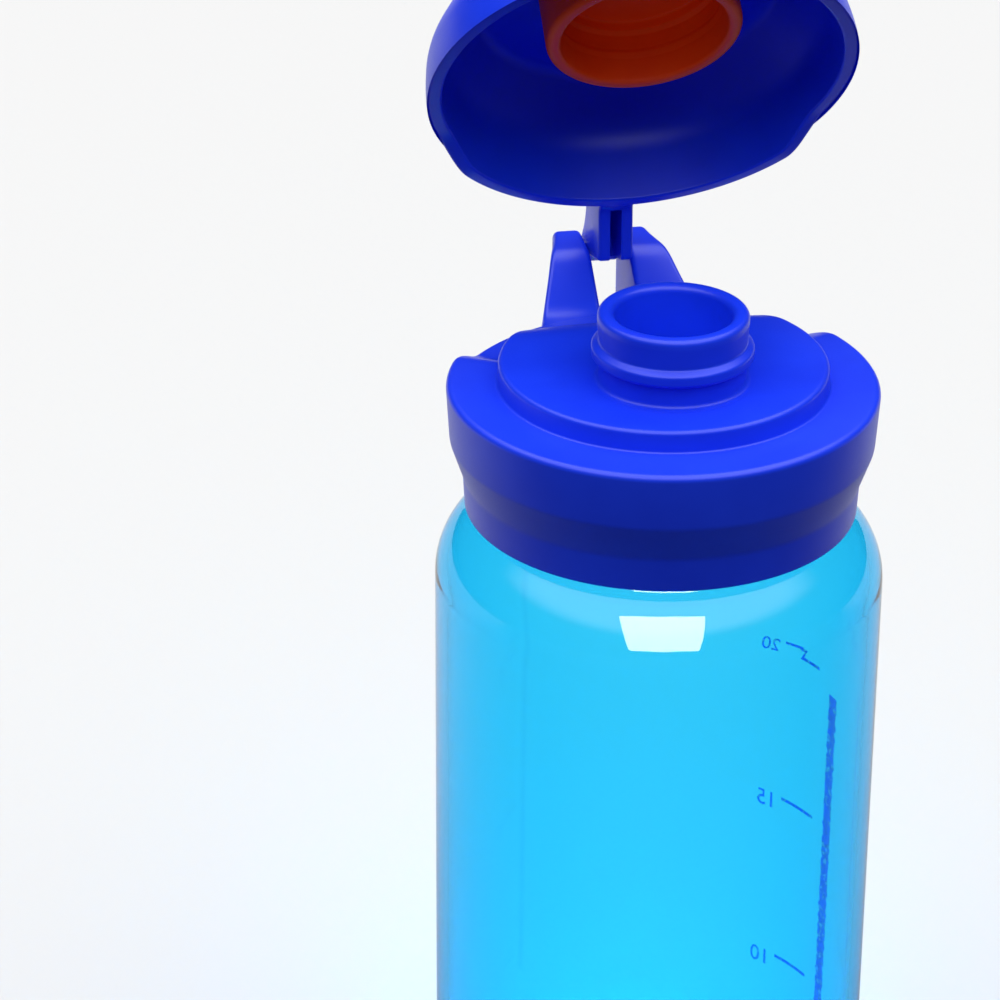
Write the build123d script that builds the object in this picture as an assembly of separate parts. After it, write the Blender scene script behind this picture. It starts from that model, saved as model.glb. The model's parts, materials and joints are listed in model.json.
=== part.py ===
from build123d import *
import math
import os

# Wide-mouth drinking bottle with a screw lid and a hinged flip cap.
# Millimetres. The bottle's axis is Z and its foot stands on z = 0. The cap's
# hinge is on the +Y side, and the drinker's side is -Y. The cap stands open.

# ---- driving dimensions: bottle ----
BODY_R = 41.0
WALL = 2.2
RIM_Z = 190.0
FOOT_R_IN = 28.0
FOOT_CORNER_R = 8.0
PUSH_UP = 4.0
SHOULDER_TILT = 50.0          # degrees away from upright
SHOULDER_TOP_Z = 171.3
SHOULDER_TOP_R = 33.2
SHOULDER_CORNER_R = 14.0
NECK_R = 31.65
NECK_BORE_R = 28.9
NECK_STEP_Z = 172.2

# ---- driving dimensions: screw thread, right-hand, single start ----
PITCH = 5.0
THREAD_TURNS = 2.0
THREAD_LOW_Z = 176.0
THREAD_CREST_R = 33.5
THREAD_FOOT = 3.0             # ridge width where it leaves the wall
THREAD_LAND = 1.3             # ridge width at its crest
THREAD_START_AZ = 200.0       # degrees, where the lower end of the ridge lies
STOP_RIB_H = 4.0
STOP_RIB_W = 2.0
LID_THREAD_TURNS = 1.5
LID_THREAD_CREST_R = 32.0
LID_THREAD_FOOT = 2.6
LID_THREAD_LAND = 1.2
LID_THREAD_LEAD = 6.0         # degrees between the stop rib and the lid's ridge
LID_THREAD_LIFT = 0.25        # the lid's ridge sits this much above mid-groove

# ---- driving dimensions: screw lid ----
LID_Z = 196.5                 # top of the flange at the front
FLANGE_R = 39.0
FLANGE_TAPER_R = 38.35
FLANGE_BAND = 10.5
FLANGE_EDGE_R = 1.2
SKIRT_TOP_R = 35.95
SKIRT_TOP_DROP = 17.5
SKIRT_R = 35.6
SKIRT_BORE_R = 33.9
SKIRT_DROP = 24.0
DECK_T = 1.6                  # deck thickness under the lowered rear flange
PLATEAU_R = 29.6
PLATEAU_H = 4.0
ROOF_T = 2.2                  # thickness over the hollow under the plateau
RAMP_Y = 16.8                 # where the plateau starts to fall towards the hinge
RAMP_SLOPE = 0.4
RAMP_EDGE_R = 12.0
GUIDE_R_OUT = 28.4
GUIDE_R_IN = 26.9
GUIDE_DROP = 4.0

# ---- driving dimensions: step in the parting line beside the hinge ----
STEP_H = 3.5
STEP_LOW_AZ = 50.5            # degrees from the hinge, where the low part ends
STEP_MID_AZ = 58.6
STEP_HIGH_AZ = 67.5           # where the parting line is back at its full height

# ---- driving dimensions: spout ----
SPOUT_Y = -7.2
SPOUT_H = 16.9                # above the flange
SPOUT_BORE_R = 10.45
SPOUT_RIM_R = 13.45
SPOUT_WALL_R = 13.1
SPOUT_BEAD_R = 14.45
SPOUT_BEAD_Z = 9.65
SPOUT_BEAD_H = 2.6
SPOUT_FOOT_R = 13.2
SPOUT_LIP_R = 0.9             # rounding of the bore's upper edge

# ---- driving dimensions: hinge ----
PIN_Y = 60.5
PIN_RISE = 0.85               # pin above the flange
PIN_R = 1.25
PIN_LENGTH = 15.6
PIN_CLEARANCE = 0.05
KNUCKLE_R = 2.9
EAR_END_R = 3.2
EAR_TOP_Y = 51.0              # where the ears' sloping top meets their flat top
EAR_DROP = 12.5               # how far the ears' rear ends reach below the flange
EAR_ROOT_DROP = 17.0          # how far down the skirt the ears reach
EAR_ROOT_Y = 30.0             # inside the skirt, where the ears' outlines start
EAR_PLAN = [                  # half widths of the fork: x, y, corner radius
    (17.2, EAR_ROOT_Y, 0),
    (15.2, 38.5, 10.0),
    (11.9, 49.0, 14.0),
    (9.1, 60.0, 6.0),
    (8.7, 66.0, 0),
]
SLOT_W = 7.4
SLOT_START_Y = 40.0
SLOT_CORNER_R = 1.5
ARM_W = 6.6
HEEL_Y = 48.4                 # lowest corner of the arm when the cap is shut
HEEL_DROP = 9.4
ARM_ROOT_H = 9.0              # where the arm's top leaves the cap, above the cap's rim
GROOVE_W = 2.2

# ---- driving dimensions: flip cap ----
OPEN_ANGLE = 52.4             # how far the cap stands open
CAP_GAP = 0.35
CAP_R = 39.0
CAP_RIM_WALL = 2.7
CAP_BAND = 2.0                # upright band above the rim
CAP_WAIST_Z = 8.5             # where the cap's side turns into its dome
CAP_WAIST_R = 38.0
CAP_EDGE_Z = 19.0
CAP_EDGE_R = 31.0
CAP_H = 22.5
CAP_CROWN_R = 20.0
CAP_CEILING = 18.9
CEILING_R = 27.5
BOSS_STEM_R = 7.5
BOSS_STEM_H = 0.6
BOSS_HEAD_R = 9.0
BOSS_HEAD_H = 0.6

# ---- driving dimensions: spout seal ----
SEAL_R = 17.7
SEAL_MOUTH_R = 15.1
SEAL_MOUTH_Z = 4.8            # above the flange when the cap is shut
SEAL_RING_R = 14.9
SEAL_RING_Z = 11.0
SEAL_POCKET_R = 14.2
SEAL_POCKET_Z = 15.4
SEAL_RIM_GAP = 0.35

# ---- worked out from the above ----
LOW_FLANGE_Z = LID_Z - STEP_H
DECK_UNDER_Z = LOW_FLANGE_Z - DECK_T
SPOUT_TOP_Z = LID_Z + SPOUT_H
PIN_Z = LID_Z + PIN_RISE
CAP_RIM_Z = LID_Z + CAP_GAP
CEILING_Z = CAP_RIM_Z + CAP_CEILING
CAP_TOP_Z = CAP_RIM_Z + CAP_H
EMBED = 0.3                   # how far a ridge is sunk into its wall before fusing
BIG = 200.0


def rounded(corners):
    """A flat closed face from (x, y, corner radius) triples."""
    edges = []
    stops = []
    count = len(corners)
    for i, (x, y, radius) in enumerate(corners):
        corner = Vector(x, y)
        back = (Vector(*corners[i - 1][:2]) - corner).normalized()
        ahead = (Vector(*corners[(i + 1) % count][:2]) - corner).normalized()
        if not radius:
            stops.append((corner, corner))
            continue
        half = math.radians(back.get_angle(ahead)) / 2
        middle = (back + ahead).normalized()
        centre = corner + middle * (radius / math.sin(half))
        start = corner + back * (radius / math.tan(half))
        end = corner + ahead * (radius / math.tan(half))
        edges.append(ThreePointArc(start, centre - middle * radius, end))
        stops.append((start, end))
    for i, (start, _) in enumerate(stops):
        before = stops[i - 1][1]
        if (start - before).length > 1e-6:
            edges.append(Line(before, start))
    return make_face(edges)


def turned(corners):
    """An (r, z, corner radius) outline revolved about the bottle's axis."""
    return revolve(Plane.XZ * rounded(corners), Axis.Z)


def side_plate(corners, width):
    """A plate cut to a (y, z, corner radius) outline and centred on x = 0."""
    return extrude(Plane.YZ * rounded(corners), width / 2, both=True)


def upright(corners):
    """A tall prism cut to an (x, y, corner radius) plan."""
    return extrude(rounded(corners), 2 * BIG, dir=(0, 0, 1))


def cross_pin(radius, length):
    """A cylinder along X, centred on the hinge line."""
    return Location((0, PIN_Y, PIN_Z)) * Rotation(0, 90, 0) * Cylinder(radius, length)


def ridge(wall_r, crest_r, foot, land, low_z, start_az, turns):
    """A helical thread ridge that stands from wall_r to crest_r."""
    sunk_r = wall_r - math.copysign(EMBED, crest_r - wall_r)
    path = Helix(PITCH, PITCH * turns, wall_r)
    section = make_face(
        Polyline(
            (sunk_r, -foot / 2),
            (wall_r, -foot / 2),
            (crest_r, -land / 2),
            (crest_r, land / 2),
            (wall_r, foot / 2),
            (sunk_r, foot / 2),
            close=True,
        )
    )
    body = sweep(Plane.XZ * section, path=path, is_frenet=True)
    return Location((0, 0, low_z)) * Rotation(0, 0, start_az) * body


def shoulder_line(radius, inset):
    """Height on the shoulder's sloping line at a radius, moved inwards by inset."""
    tilt = math.radians(SHOULDER_TILT)
    start_r = SHOULDER_TOP_R - inset * math.cos(tilt)
    start_z = SHOULDER_TOP_Z - inset * math.sin(tilt)
    return start_z - (radius - start_r) / math.tan(tilt)


def dome(radius, crown_z):
    """A ball whose top is at crown_z on the bottle's axis."""
    return Location((0, 0, crown_z - radius)) * Sphere(radius)


def bottle_body():
    """Blow-moulded bottle: foot ring, straight wall, shoulder and threaded neck."""
    dome_r = (FOOT_R_IN**2 + PUSH_UP**2) / (2 * PUSH_UP)
    inner_r = BODY_R - WALL
    outside = turned(
        [
            (0, 0, 0),
            (BODY_R, 0, FOOT_CORNER_R),
            (BODY_R, shoulder_line(BODY_R, 0), SHOULDER_CORNER_R),
            (SHOULDER_TOP_R, SHOULDER_TOP_Z, 1.2),
            (SHOULDER_TOP_R, NECK_STEP_Z, 0.5),
            (NECK_R, NECK_STEP_Z, 0.3),
            (NECK_R, RIM_Z, 1.0),
            (0, RIM_Z, 0),
        ]
    )
    inside = turned(
        [
            (0, WALL, 0),
            (inner_r, WALL, FOOT_CORNER_R - WALL),
            (inner_r, shoulder_line(inner_r, WALL), SHOULDER_CORNER_R - WALL),
            (NECK_BORE_R, shoulder_line(NECK_BORE_R, WALL), 5.0),
            (NECK_BORE_R, RIM_Z + 5, 0),
            (0, RIM_Z + 5, 0),
        ]
    )
    shell = outside - dome(dome_r, PUSH_UP)
    shell -= inside - dome(dome_r + WALL, PUSH_UP + WALL)
    lip = [e for e in shell.edges() if abs(e.center().Z - RIM_Z) < 0.01]
    inner_lip = [e for e in lip if e.geom_type == GeomType.CIRCLE and e.radius < 29.5]
    shell = fillet(inner_lip, 1.0)
    thread = ridge(
        NECK_R,
        THREAD_CREST_R,
        THREAD_FOOT,
        THREAD_LAND,
        THREAD_LOW_Z,
        THREAD_START_AZ,
        THREAD_TURNS,
    )
    return shell + thread + stop_rib()


def stop_rib():
    """Short upright rib under the thread's lower end, where the lid stops."""
    depth = THREAD_CREST_R - NECK_R + EMBED
    middle_r = NECK_R - EMBED + depth / 2
    block = Box(depth, STOP_RIB_W, STOP_RIB_H)
    low = Location((middle_r, 0, THREAD_LOW_Z - STOP_RIB_H / 2))
    return Rotation(0, 0, THREAD_START_AZ) * (low * block)


def tongue_section(distance, lift):
    """The rear tongue's outline on an upright plane this far behind the axis."""
    top = LID_Z + lift
    low = LOW_FLANGE_Z + lift
    ceiling = top + 20
    low_x, mid_x, high_x = (
        distance * math.tan(math.radians(az)) for az in (STEP_LOW_AZ, STEP_MID_AZ, STEP_HIGH_AZ)
    )
    flat = ((-1, 0), (-1, 0))
    outline = [
        Spline((high_x, top), (mid_x, (top + low) / 2), (low_x, low), tangents=flat),
        Line((low_x, low), (-low_x, low)),
        Spline((-low_x, low), (-mid_x, (top + low) / 2), (-high_x, top), tangents=flat),
        Line((-high_x, top), (-high_x, ceiling)),
        Line((-high_x, ceiling), (high_x, ceiling)),
        Line((high_x, ceiling), (high_x, top)),
    ]
    return Location((0, distance, 0)) * (Plane.XZ * make_face(outline))


def rear_tongue(lift):
    """The space above the parting surface's low rear sector, which fans out from the axis."""
    return loft([tongue_section(2, lift), tongue_section(50, lift)], ruled=True)


def lid_base():
    """The lid's deck, flange, flared side and skirt, before the rear is lowered."""
    return turned(
        [
            (0, LID_Z, 0),
            (FLANGE_R, LID_Z, FLANGE_EDGE_R),
            (FLANGE_TAPER_R, LID_Z - FLANGE_BAND, 4.0),
            (SKIRT_TOP_R, LID_Z - SKIRT_TOP_DROP, 5.0),
            (SKIRT_R, LID_Z - SKIRT_DROP, 0.5),
            (SKIRT_BORE_R, LID_Z - SKIRT_DROP, 0.3),
            (SKIRT_BORE_R, DECK_UNDER_Z, 0),
            (0, DECK_UNDER_Z, 0),
        ]
    )


def spout():
    """The drinking spout: foot, bead and rim, solid until the bore is cut."""
    bead = LID_Z + SPOUT_BEAD_Z
    foot = LID_Z + PLATEAU_H
    solid = turned(
        [
            (0, foot - 1, 0),
            (SPOUT_FOOT_R + 0.7, foot - 1, 0),
            (SPOUT_FOOT_R + 0.7, foot, 0),
            (SPOUT_FOOT_R, foot + 0.7, 0.5),
            (SPOUT_WALL_R, bead - SPOUT_BEAD_H / 2 - 0.4, 0.4),
            (SPOUT_BEAD_R, bead - SPOUT_BEAD_H / 2 + 0.3, 0.6),
            (SPOUT_BEAD_R, bead + SPOUT_BEAD_H / 2 - 0.5, 0.7),
            (SPOUT_WALL_R, bead + SPOUT_BEAD_H / 2 + 0.3, 0.4),
            (SPOUT_RIM_R, SPOUT_TOP_Z - 1.8, 0.6),
            (SPOUT_RIM_R, SPOUT_TOP_Z, 1.2),
            (0, SPOUT_TOP_Z, 0),
        ]
    )
    return Location((0, SPOUT_Y, 0)) * solid


def above_ramp(drop):
    """The space above the ramp that falls from the plateau to the hinge, moved down by drop."""
    top = LID_Z + PLATEAU_H - drop
    far = 60.0
    return side_plate(
        [
            (0, top, 0),
            (RAMP_Y, top, RAMP_EDGE_R),
            (far, top - RAMP_SLOPE * (far - RAMP_Y), 0),
            (far, top + 20, 0),
            (0, top + 20, 0),
        ],
        BIG,
    )


def plateau():
    """The raised round table that the spout stands on, with its ramp at the rear."""
    table = turned(
        [
            (0, LOW_FLANGE_Z - 0.5, 0),
            (PLATEAU_R + 0.25, LOW_FLANGE_Z - 0.5, 0),
            (PLATEAU_R, LID_Z + PLATEAU_H, 0.9),
            (0, LID_Z + PLATEAU_H, 0),
        ]
    )
    return table - above_ramp(0)


def under_deck():
    """The hollow under the plateau and the spout's bore."""
    roof_z = LID_Z + PLATEAU_H - ROOF_T
    hollow = turned(
        [
            (0, DECK_UNDER_Z - 1, 0),
            (GUIDE_R_IN, DECK_UNDER_Z - 1, 0),
            (GUIDE_R_IN, roof_z, 2.0),
            (0, roof_z, 0),
        ]
    )
    return hollow - above_ramp(ROOF_T * 1.1) + spout_bore()


def spout_bore():
    """The round way through the spout, with a rounded upper edge."""
    lip = SPOUT_LIP_R
    bore = turned(
        [
            (0, DECK_UNDER_Z, 0),
            (SPOUT_BORE_R, DECK_UNDER_Z, 0),
            (SPOUT_BORE_R, SPOUT_TOP_Z - lip, 2 * lip),
            (SPOUT_BORE_R + lip, SPOUT_TOP_Z + 0.01, 0),
            (0, SPOUT_TOP_Z + 0.01, 0),
        ]
    )
    return Location((0, SPOUT_Y, 0)) * bore


def guide_ring():
    """The ring inside the neck that keeps the gasket in its seat."""
    return turned(
        [
            (GUIDE_R_IN, DECK_UNDER_Z + 0.5, 0),
            (GUIDE_R_OUT, DECK_UNDER_Z + 0.5, 0),
            (GUIDE_R_OUT, DECK_UNDER_Z - GUIDE_DROP, 0.5),
            (GUIDE_R_IN, DECK_UNDER_Z - GUIDE_DROP, 0.5),
        ]
    )


def fork_slot():
    """The slot between the ears, with round corners at its front end."""
    half = SLOT_W / 2
    return upright(
        [
            (half, SLOT_START_Y, SLOT_CORNER_R),
            (half, BIG, 0),
            (-half, BIG, 0),
            (-half, SLOT_START_Y, SLOT_CORNER_R),
        ]
    )


def fork():
    """Two deep ears behind the lid that carry the hinge pin."""
    root_z = LOW_FLANGE_Z - 0.1
    ear_top = PIN_Z + EAR_END_R
    end_y = PIN_Y + EAR_END_R
    end_r = EAR_END_R - 0.02
    side = side_plate(
        [
            (EAR_ROOT_Y, root_z, 0),
            (FLANGE_R + 0.2, root_z, 3.0),
            (EAR_TOP_Y, ear_top, 5.0),
            (end_y, ear_top, end_r),
            (end_y - 0.5, LID_Z - EAR_DROP, 4.0),
            (SKIRT_TOP_R, LID_Z - EAR_ROOT_DROP, 0),
            (EAR_ROOT_Y, LID_Z - EAR_ROOT_DROP, 0),
        ],
        BIG,
    )
    plan = EAR_PLAN + [(-x, y, r) for x, y, r in reversed(EAR_PLAN)]
    return (side & upright(plan)) - fork_slot() - cross_pin(PIN_R, PIN_LENGTH)


def lid_thread():
    """The ridge inside the skirt that runs in the groove of the neck's thread."""
    low_z = THREAD_LOW_Z - PITCH / 2 + LID_THREAD_LIFT
    return ridge(
        SKIRT_BORE_R,
        LID_THREAD_CREST_R,
        LID_THREAD_FOOT,
        LID_THREAD_LAND,
        low_z + PITCH * LID_THREAD_LEAD / 360,
        THREAD_START_AZ + LID_THREAD_LEAD,
        LID_THREAD_TURNS,
    )


def screw_lid():
    """Screw lid: flange, flared skirt, plateau, spout, guide ring, thread, ears."""
    core = Location((0, 0, LID_Z)) * Cylinder(PLATEAU_R - 1.5, 60)
    base = lid_base() - (rear_tongue(0) - core)
    top = plateau() + spout()
    skirt_hollow = Location((0, 0, DECK_UNDER_Z - 30)) * Cylinder(SKIRT_BORE_R, 60)
    ears = fork() - skirt_hollow
    return base + top - under_deck() + guide_ring() + ears + lid_thread()


def lid_gasket():
    """Flat silicone ring between the lid's deck and the bottle's rim."""
    return turned(
        [
            (GUIDE_R_OUT + 0.3, RIM_Z, 0.2),
            (SKIRT_BORE_R - 0.4, RIM_Z, 0.2),
            (SKIRT_BORE_R - 0.4, DECK_UNDER_Z, 0.2),
            (GUIDE_R_OUT + 0.3, DECK_UNDER_Z, 0.2),
        ]
    )


def opened(solid):
    """Swings a part of the cap from shut to where it stands open."""
    return solid.rotate(Axis((0, PIN_Y, PIN_Z), (-1, 0, 0)), OPEN_ANGLE)


def cap_shell():
    """The cap's domed cover, before its rim is trimmed to the parting line."""
    low_rim = CAP_RIM_Z - STEP_H - 1
    wall_r = CAP_R - CAP_RIM_WALL
    return turned(
        [
            (0, CEILING_Z, 0),
            (CEILING_R, CEILING_Z, 4.0),
            (CAP_WAIST_R - CAP_RIM_WALL, CAP_RIM_Z + CAP_WAIST_Z, 10.0),
            (wall_r, low_rim, 0),
            (CAP_R, low_rim, 0),
            (CAP_R, CAP_RIM_Z + CAP_BAND, 30.0),
            (CAP_WAIST_R, CAP_RIM_Z + CAP_WAIST_Z, 12.0),
            (CAP_EDGE_R, CAP_RIM_Z + CAP_EDGE_Z, 9.0),
            (CAP_CROWN_R, CAP_TOP_Z, 60.0),
            (0, CAP_TOP_Z, 0),
        ]
    )


def cap_arm():
    """The deep arm from the cap's rear wall to the knuckle on the pin."""
    root_y = CAP_R - 2.0
    root_top = CAP_RIM_Z + ARM_ROOT_H
    root_low = CAP_RIM_Z - STEP_H + 0.4
    side = side_plate(
        [
            (root_y, root_top, 0),
            (CAP_R + 1.0, root_top, 4.0),
            (PIN_Y - 5, PIN_Z + KNUCKLE_R, 8.0),
            (PIN_Y, PIN_Z + KNUCKLE_R, 0),
            (PIN_Y, PIN_Z - KNUCKLE_R, 0),
            (PIN_Y - 2, PIN_Z - KNUCKLE_R, 2.0),
            (HEEL_Y, LID_Z - HEEL_DROP, 1.2),
            (SLOT_START_Y + 0.5, root_low, 1.5),
            (root_y, root_low, 0),
        ],
        ARM_W,
    )
    knuckle = cross_pin(KNUCKLE_R, ARM_W)
    bore = cross_pin(PIN_R + PIN_CLEARANCE, 2 * ARM_W)
    below = PIN_Z - 25
    groove = side_plate(
        [
            (CAP_R + 1.6, below, 0),
            (CAP_R + 1.6, CAP_RIM_Z + 4.5, 1.0),
            (PIN_Y - 6.5, PIN_Z - 0.5, 1.0),
            (PIN_Y - 8.0, below, 0),
        ],
        GROOVE_W,
    )
    return side + knuckle - bore - groove


def seal_boss():
    """Mushroom boss on the cap's ceiling that the seal snaps over."""
    stem_low = CEILING_Z - BOSS_STEM_H
    head_low = stem_low - BOSS_HEAD_H
    boss = turned(
        [
            (0, CEILING_Z + 1, 0),
            (BOSS_STEM_R, CEILING_Z + 1, 0),
            (BOSS_STEM_R, stem_low, 0),
            (BOSS_HEAD_R, stem_low, 0),
            (BOSS_HEAD_R, head_low, 0.4),
            (0, head_low, 0),
        ]
    )
    return Location((0, SPOUT_Y, 0)) * boss


def flip_cap():
    """Hinged cap with its arm and the boss for the seal."""
    lower = Location((0, 0, CAP_RIM_Z - 25)) * Box(BIG, BIG, 50)
    lower -= rear_tongue(CAP_GAP)
    shell = cap_shell() - lower
    return opened(shell + cap_arm() + seal_boss())


def spout_seal():
    """Silicone cup that closes over the spout."""
    mouth = LID_Z + SEAL_MOUTH_Z
    ring = LID_Z + SEAL_RING_Z
    step = LID_Z + SEAL_POCKET_Z
    pocket = SPOUT_TOP_Z + SEAL_RIM_GAP
    cup = turned(
        [
            (0, pocket, 0),
            (SEAL_POCKET_R, pocket, 0.3),
            (SEAL_POCKET_R, step, 0.2),
            (SEAL_RING_R, step, 0.2),
            (SEAL_RING_R, ring, 0.1),
            (SEAL_MOUTH_R - 0.1, ring - 0.5, 0.1),
            (SEAL_MOUTH_R, mouth, 1.0),
            (SEAL_R, mouth, 1.2),
            (SEAL_R, CEILING_Z, 0),
            (0, CEILING_Z, 0),
        ]
    )
    return opened(Location((0, SPOUT_Y, 0)) * cup - seal_boss())


def hinge_pin():
    """Steel pin pressed into the ears."""
    return cross_pin(PIN_R, PIN_LENGTH)


PIECES = {
    "bottle_body": bottle_body,
    "screw_lid": screw_lid,
    "lid_gasket": lid_gasket,
    "hinge_pin": hinge_pin,
    "flip_cap": flip_cap,
    "spout_seal": spout_seal,
}

os.makedirs("parts", exist_ok=True)
for name, make in PIECES.items():
    export_step(make(), f"parts/{name}.step")
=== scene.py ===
import json
import math

import bmesh
import bpy
from mathutils import Matrix, Vector, noise


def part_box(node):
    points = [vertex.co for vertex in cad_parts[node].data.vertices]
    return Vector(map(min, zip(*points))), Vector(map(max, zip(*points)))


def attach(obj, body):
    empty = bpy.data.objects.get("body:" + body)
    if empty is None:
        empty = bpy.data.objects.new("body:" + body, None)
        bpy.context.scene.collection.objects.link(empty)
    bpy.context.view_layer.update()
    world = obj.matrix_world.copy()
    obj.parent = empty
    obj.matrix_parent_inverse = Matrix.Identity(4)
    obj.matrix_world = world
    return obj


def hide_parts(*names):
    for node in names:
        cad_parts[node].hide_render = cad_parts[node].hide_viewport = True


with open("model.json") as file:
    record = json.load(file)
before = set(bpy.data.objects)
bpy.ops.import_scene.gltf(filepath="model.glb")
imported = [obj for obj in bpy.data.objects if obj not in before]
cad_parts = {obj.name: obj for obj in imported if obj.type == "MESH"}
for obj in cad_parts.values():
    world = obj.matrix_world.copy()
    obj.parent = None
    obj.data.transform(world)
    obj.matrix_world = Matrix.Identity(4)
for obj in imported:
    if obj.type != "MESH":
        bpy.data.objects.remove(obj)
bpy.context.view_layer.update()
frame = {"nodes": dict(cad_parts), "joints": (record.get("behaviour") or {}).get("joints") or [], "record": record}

# A wide-mouth drinking bottle with a screw lid and a hinged flip cap that stands open.
# Every size below is in millimetres and every azimuth in degrees from the hinge (+Y) towards +X.
MM = 0.001

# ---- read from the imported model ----
record = frame["record"]
mounts = {m["name"]: m for m in record["mounts"]}
joints = {j["name"]: j for j in frame["joints"]}
PIN_Y, PIN_Z = (v / MM for v in joints["cap_hinge"]["pos_m"][1:])
OPEN_ANGLE = -joints["cap_hinge"]["range_deg"][0]
BODY_R = mounts["grip_wall"]["dims"]["r_mm"]
SPOUT_BORE_R = mounts["spout_bore"]["dims"]["r_mm"]
SPOUT_Y = mounts["spout_bore"]["pos_m"][1] / MM
RIM_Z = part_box("bottle_body")[1].z / MM
SKIRT_DROP = 24.0
LID_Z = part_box("screw_lid")[0].z / MM + SKIRT_DROP
DECK_UNDER_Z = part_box("lid_gasket")[1].z / MM

# ---- bottle ----
WALL = 2.2
FOOT_CORNER_R = 8.0
FOOT_R_IN = 28.0
PUSH_UP = 4.0
SHOULDER_TILT = 50.0
SHOULDER_TOP_Z = RIM_Z - 18.7
SHOULDER_TOP_R = 33.2
SHOULDER_CORNER_R = 14.0
NECK_STEP_Z = RIM_Z - 17.8
NECK_R = 31.65
NECK_BORE_R = 28.9

# ---- thread ----
PITCH = 5.0
THREAD_TURNS = 2.0
THREAD_LOW_Z = RIM_Z - 14.0
THREAD_CREST = 1.85
THREAD_START_AZ = -110.0
RIDGE_FOOT = 1.5              # half width of a ridge where it leaves the wall
RIDGE_LAND = 0.6              # half width at its crest
RIDGE_FADE = 0.03             # turns over which a ridge's ends run out
LID_THREAD_TURNS = 1.5
LID_THREAD_CREST = -1.9
LID_THREAD_PULL = 0.33        # the lid's ridge sits this far above the middle of the groove

# ---- screw lid ----
FLANGE_R = 39.0
FLANGE_TAPER_R = 38.35
FLANGE_BAND = 10.5
SKIRT_TOP_R = 35.95
SKIRT_TOP_DROP = 17.5
SKIRT_R = 35.6
SKIRT_BORE_R = 33.9
PLATEAU_R = 29.6
PLATEAU_H = 4.0
PLATEAU_MIN_H = 1.6           # what the ramp leaves of the plateau over the flange
PLATEAU_ROUND = 1.2           # width of its rounded edge
ROOF_T = 2.6
COVE_H = 2.0                  # the roof comes down this far where it meets the guide ring
COVE_W = 3.0
RAMP_Y = 16.8
RAMP_SLOPE = 0.4
RAMP_EDGE = 2.4               # half the length over which the ramp starts
GUIDE_R_OUT = 28.4
GUIDE_R_IN = 26.9
GUIDE_DROP = 4.0

# ---- step in the parting line ----
STEP_H = 3.5
STEP_LOW_AZ = 50.5
STEP_MID_AZ = 58.6
STEP_HIGH_AZ = 67.5

# ---- spout ----
SPOUT_H = 16.9
SPOUT_RIM_R = 13.45
SPOUT_WALL_R = 13.1
SPOUT_BEAD_R = 14.45
SPOUT_BEAD_Z = 9.65
SPOUT_BEAD_H = 2.6
SPOUT_FOOT_R = 13.2

# ---- hinge ----
PIN_R = 1.25
KNUCKLE_R = 2.9
EAR_END_R = 3.2
EAR_TOP_Y = 51.0
EAR_DROP = 12.5
EAR_ROOT_DROP = 17.0
EAR_HALF = ((30, 17.2), (38.5, 15.2), (49, 11.9), (60, 9.1), (66, 8.7))  # y, half width of the fork
EAR_START_Y = 35.0
EAR_TIP_R = 4.0               # rounding of an ear's lower end
EAR_SIDE_R = 0.9              # rounding of its end seen from above
EAR_HOLE_GAP = 0.01
SLOT_W = 7.4
SLOT_START_Y = 40.0
ARM_W = 6.6
ARM_START_Y = 37.2
ARM_ROOT_H = 9.0
HEEL_Y = 48.4
HEEL_DROP = 9.4
ARM_HOLE_GAP = 0.05
GROOVE_W = 2.2
DRILL_X = (-20.0, 20.0)       # the tools that drill the hinge line reach past the fork

# ---- flip cap ----
CAP_GAP = 0.35
CAP_R = 39.0
CAP_RIM_WALL = 2.7
CAP_BAND = 2.0
CAP_WAIST_Z = 8.5
CAP_WAIST_R = 38.0
CAP_EDGE_Z = 19.0
CAP_EDGE_R = 31.0
CAP_H = 22.5
CAP_CROWN_R = 20.0
CAP_CEILING = 18.9
CEILING_R = 27.5

# ---- seal ----
SEAL_R = 17.7
SEAL_MOUTH_R = 15.1
SEAL_MOUTH_Z = 4.8
SEAL_POCKET_R = 14.2
SEAL_POCKET_Z = 17.25

CAP_RIM_Z = LID_Z + CAP_GAP

# ---- meshes ----
SEGMENTS = 240                # steps round the bottle's axis
SPOUT_SEGMENTS = 160          # steps round the spout's axis
HOLE_SEGMENTS = 96
SHARP_ANGLE = 38.0            # folds above this many degrees stay sharp


# ---------------------------------------------------------------- outlines
def rounded(corners, steps=5):
    """Points of an open outline from (x, y, corner radius) triples."""
    points = []
    for i, (x, y, radius) in enumerate(corners):
        corner = Vector((x, y))
        if not radius or i in (0, len(corners) - 1):
            points.append(corner)
            continue
        back = (Vector(corners[i - 1][:2]) - corner).normalized()
        ahead = (Vector(corners[i + 1][:2]) - corner).normalized()
        half = back.angle(ahead) / 2
        middle = (back + ahead).normalized()
        centre = corner + middle * (radius / math.sin(half))
        start = corner + back * (radius / math.tan(half)) - centre
        turn = start.angle_signed(corner + ahead * (radius / math.tan(half)) - centre)
        for k in range(steps + 1):
            angle = -turn * k / steps
            cos, sin = math.cos(angle), math.sin(angle)
            spoke = Vector((start.x * cos - start.y * sin, start.x * sin + start.y * cos))
            points.append(centre + spoke)
    return points


def spread(start, end, count):
    """Points between two (x, y) ends, without the ends."""
    a, b = Vector(start), Vector(end)
    return [a.lerp(b, k / (count + 1)) for k in range(1, count + 1)]


def smooth(t):
    """0 below 0, 1 above 1, and a soft S between them."""
    t = min(1.0, max(0.0, t))
    return t * t * (3 - 2 * t)


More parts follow.
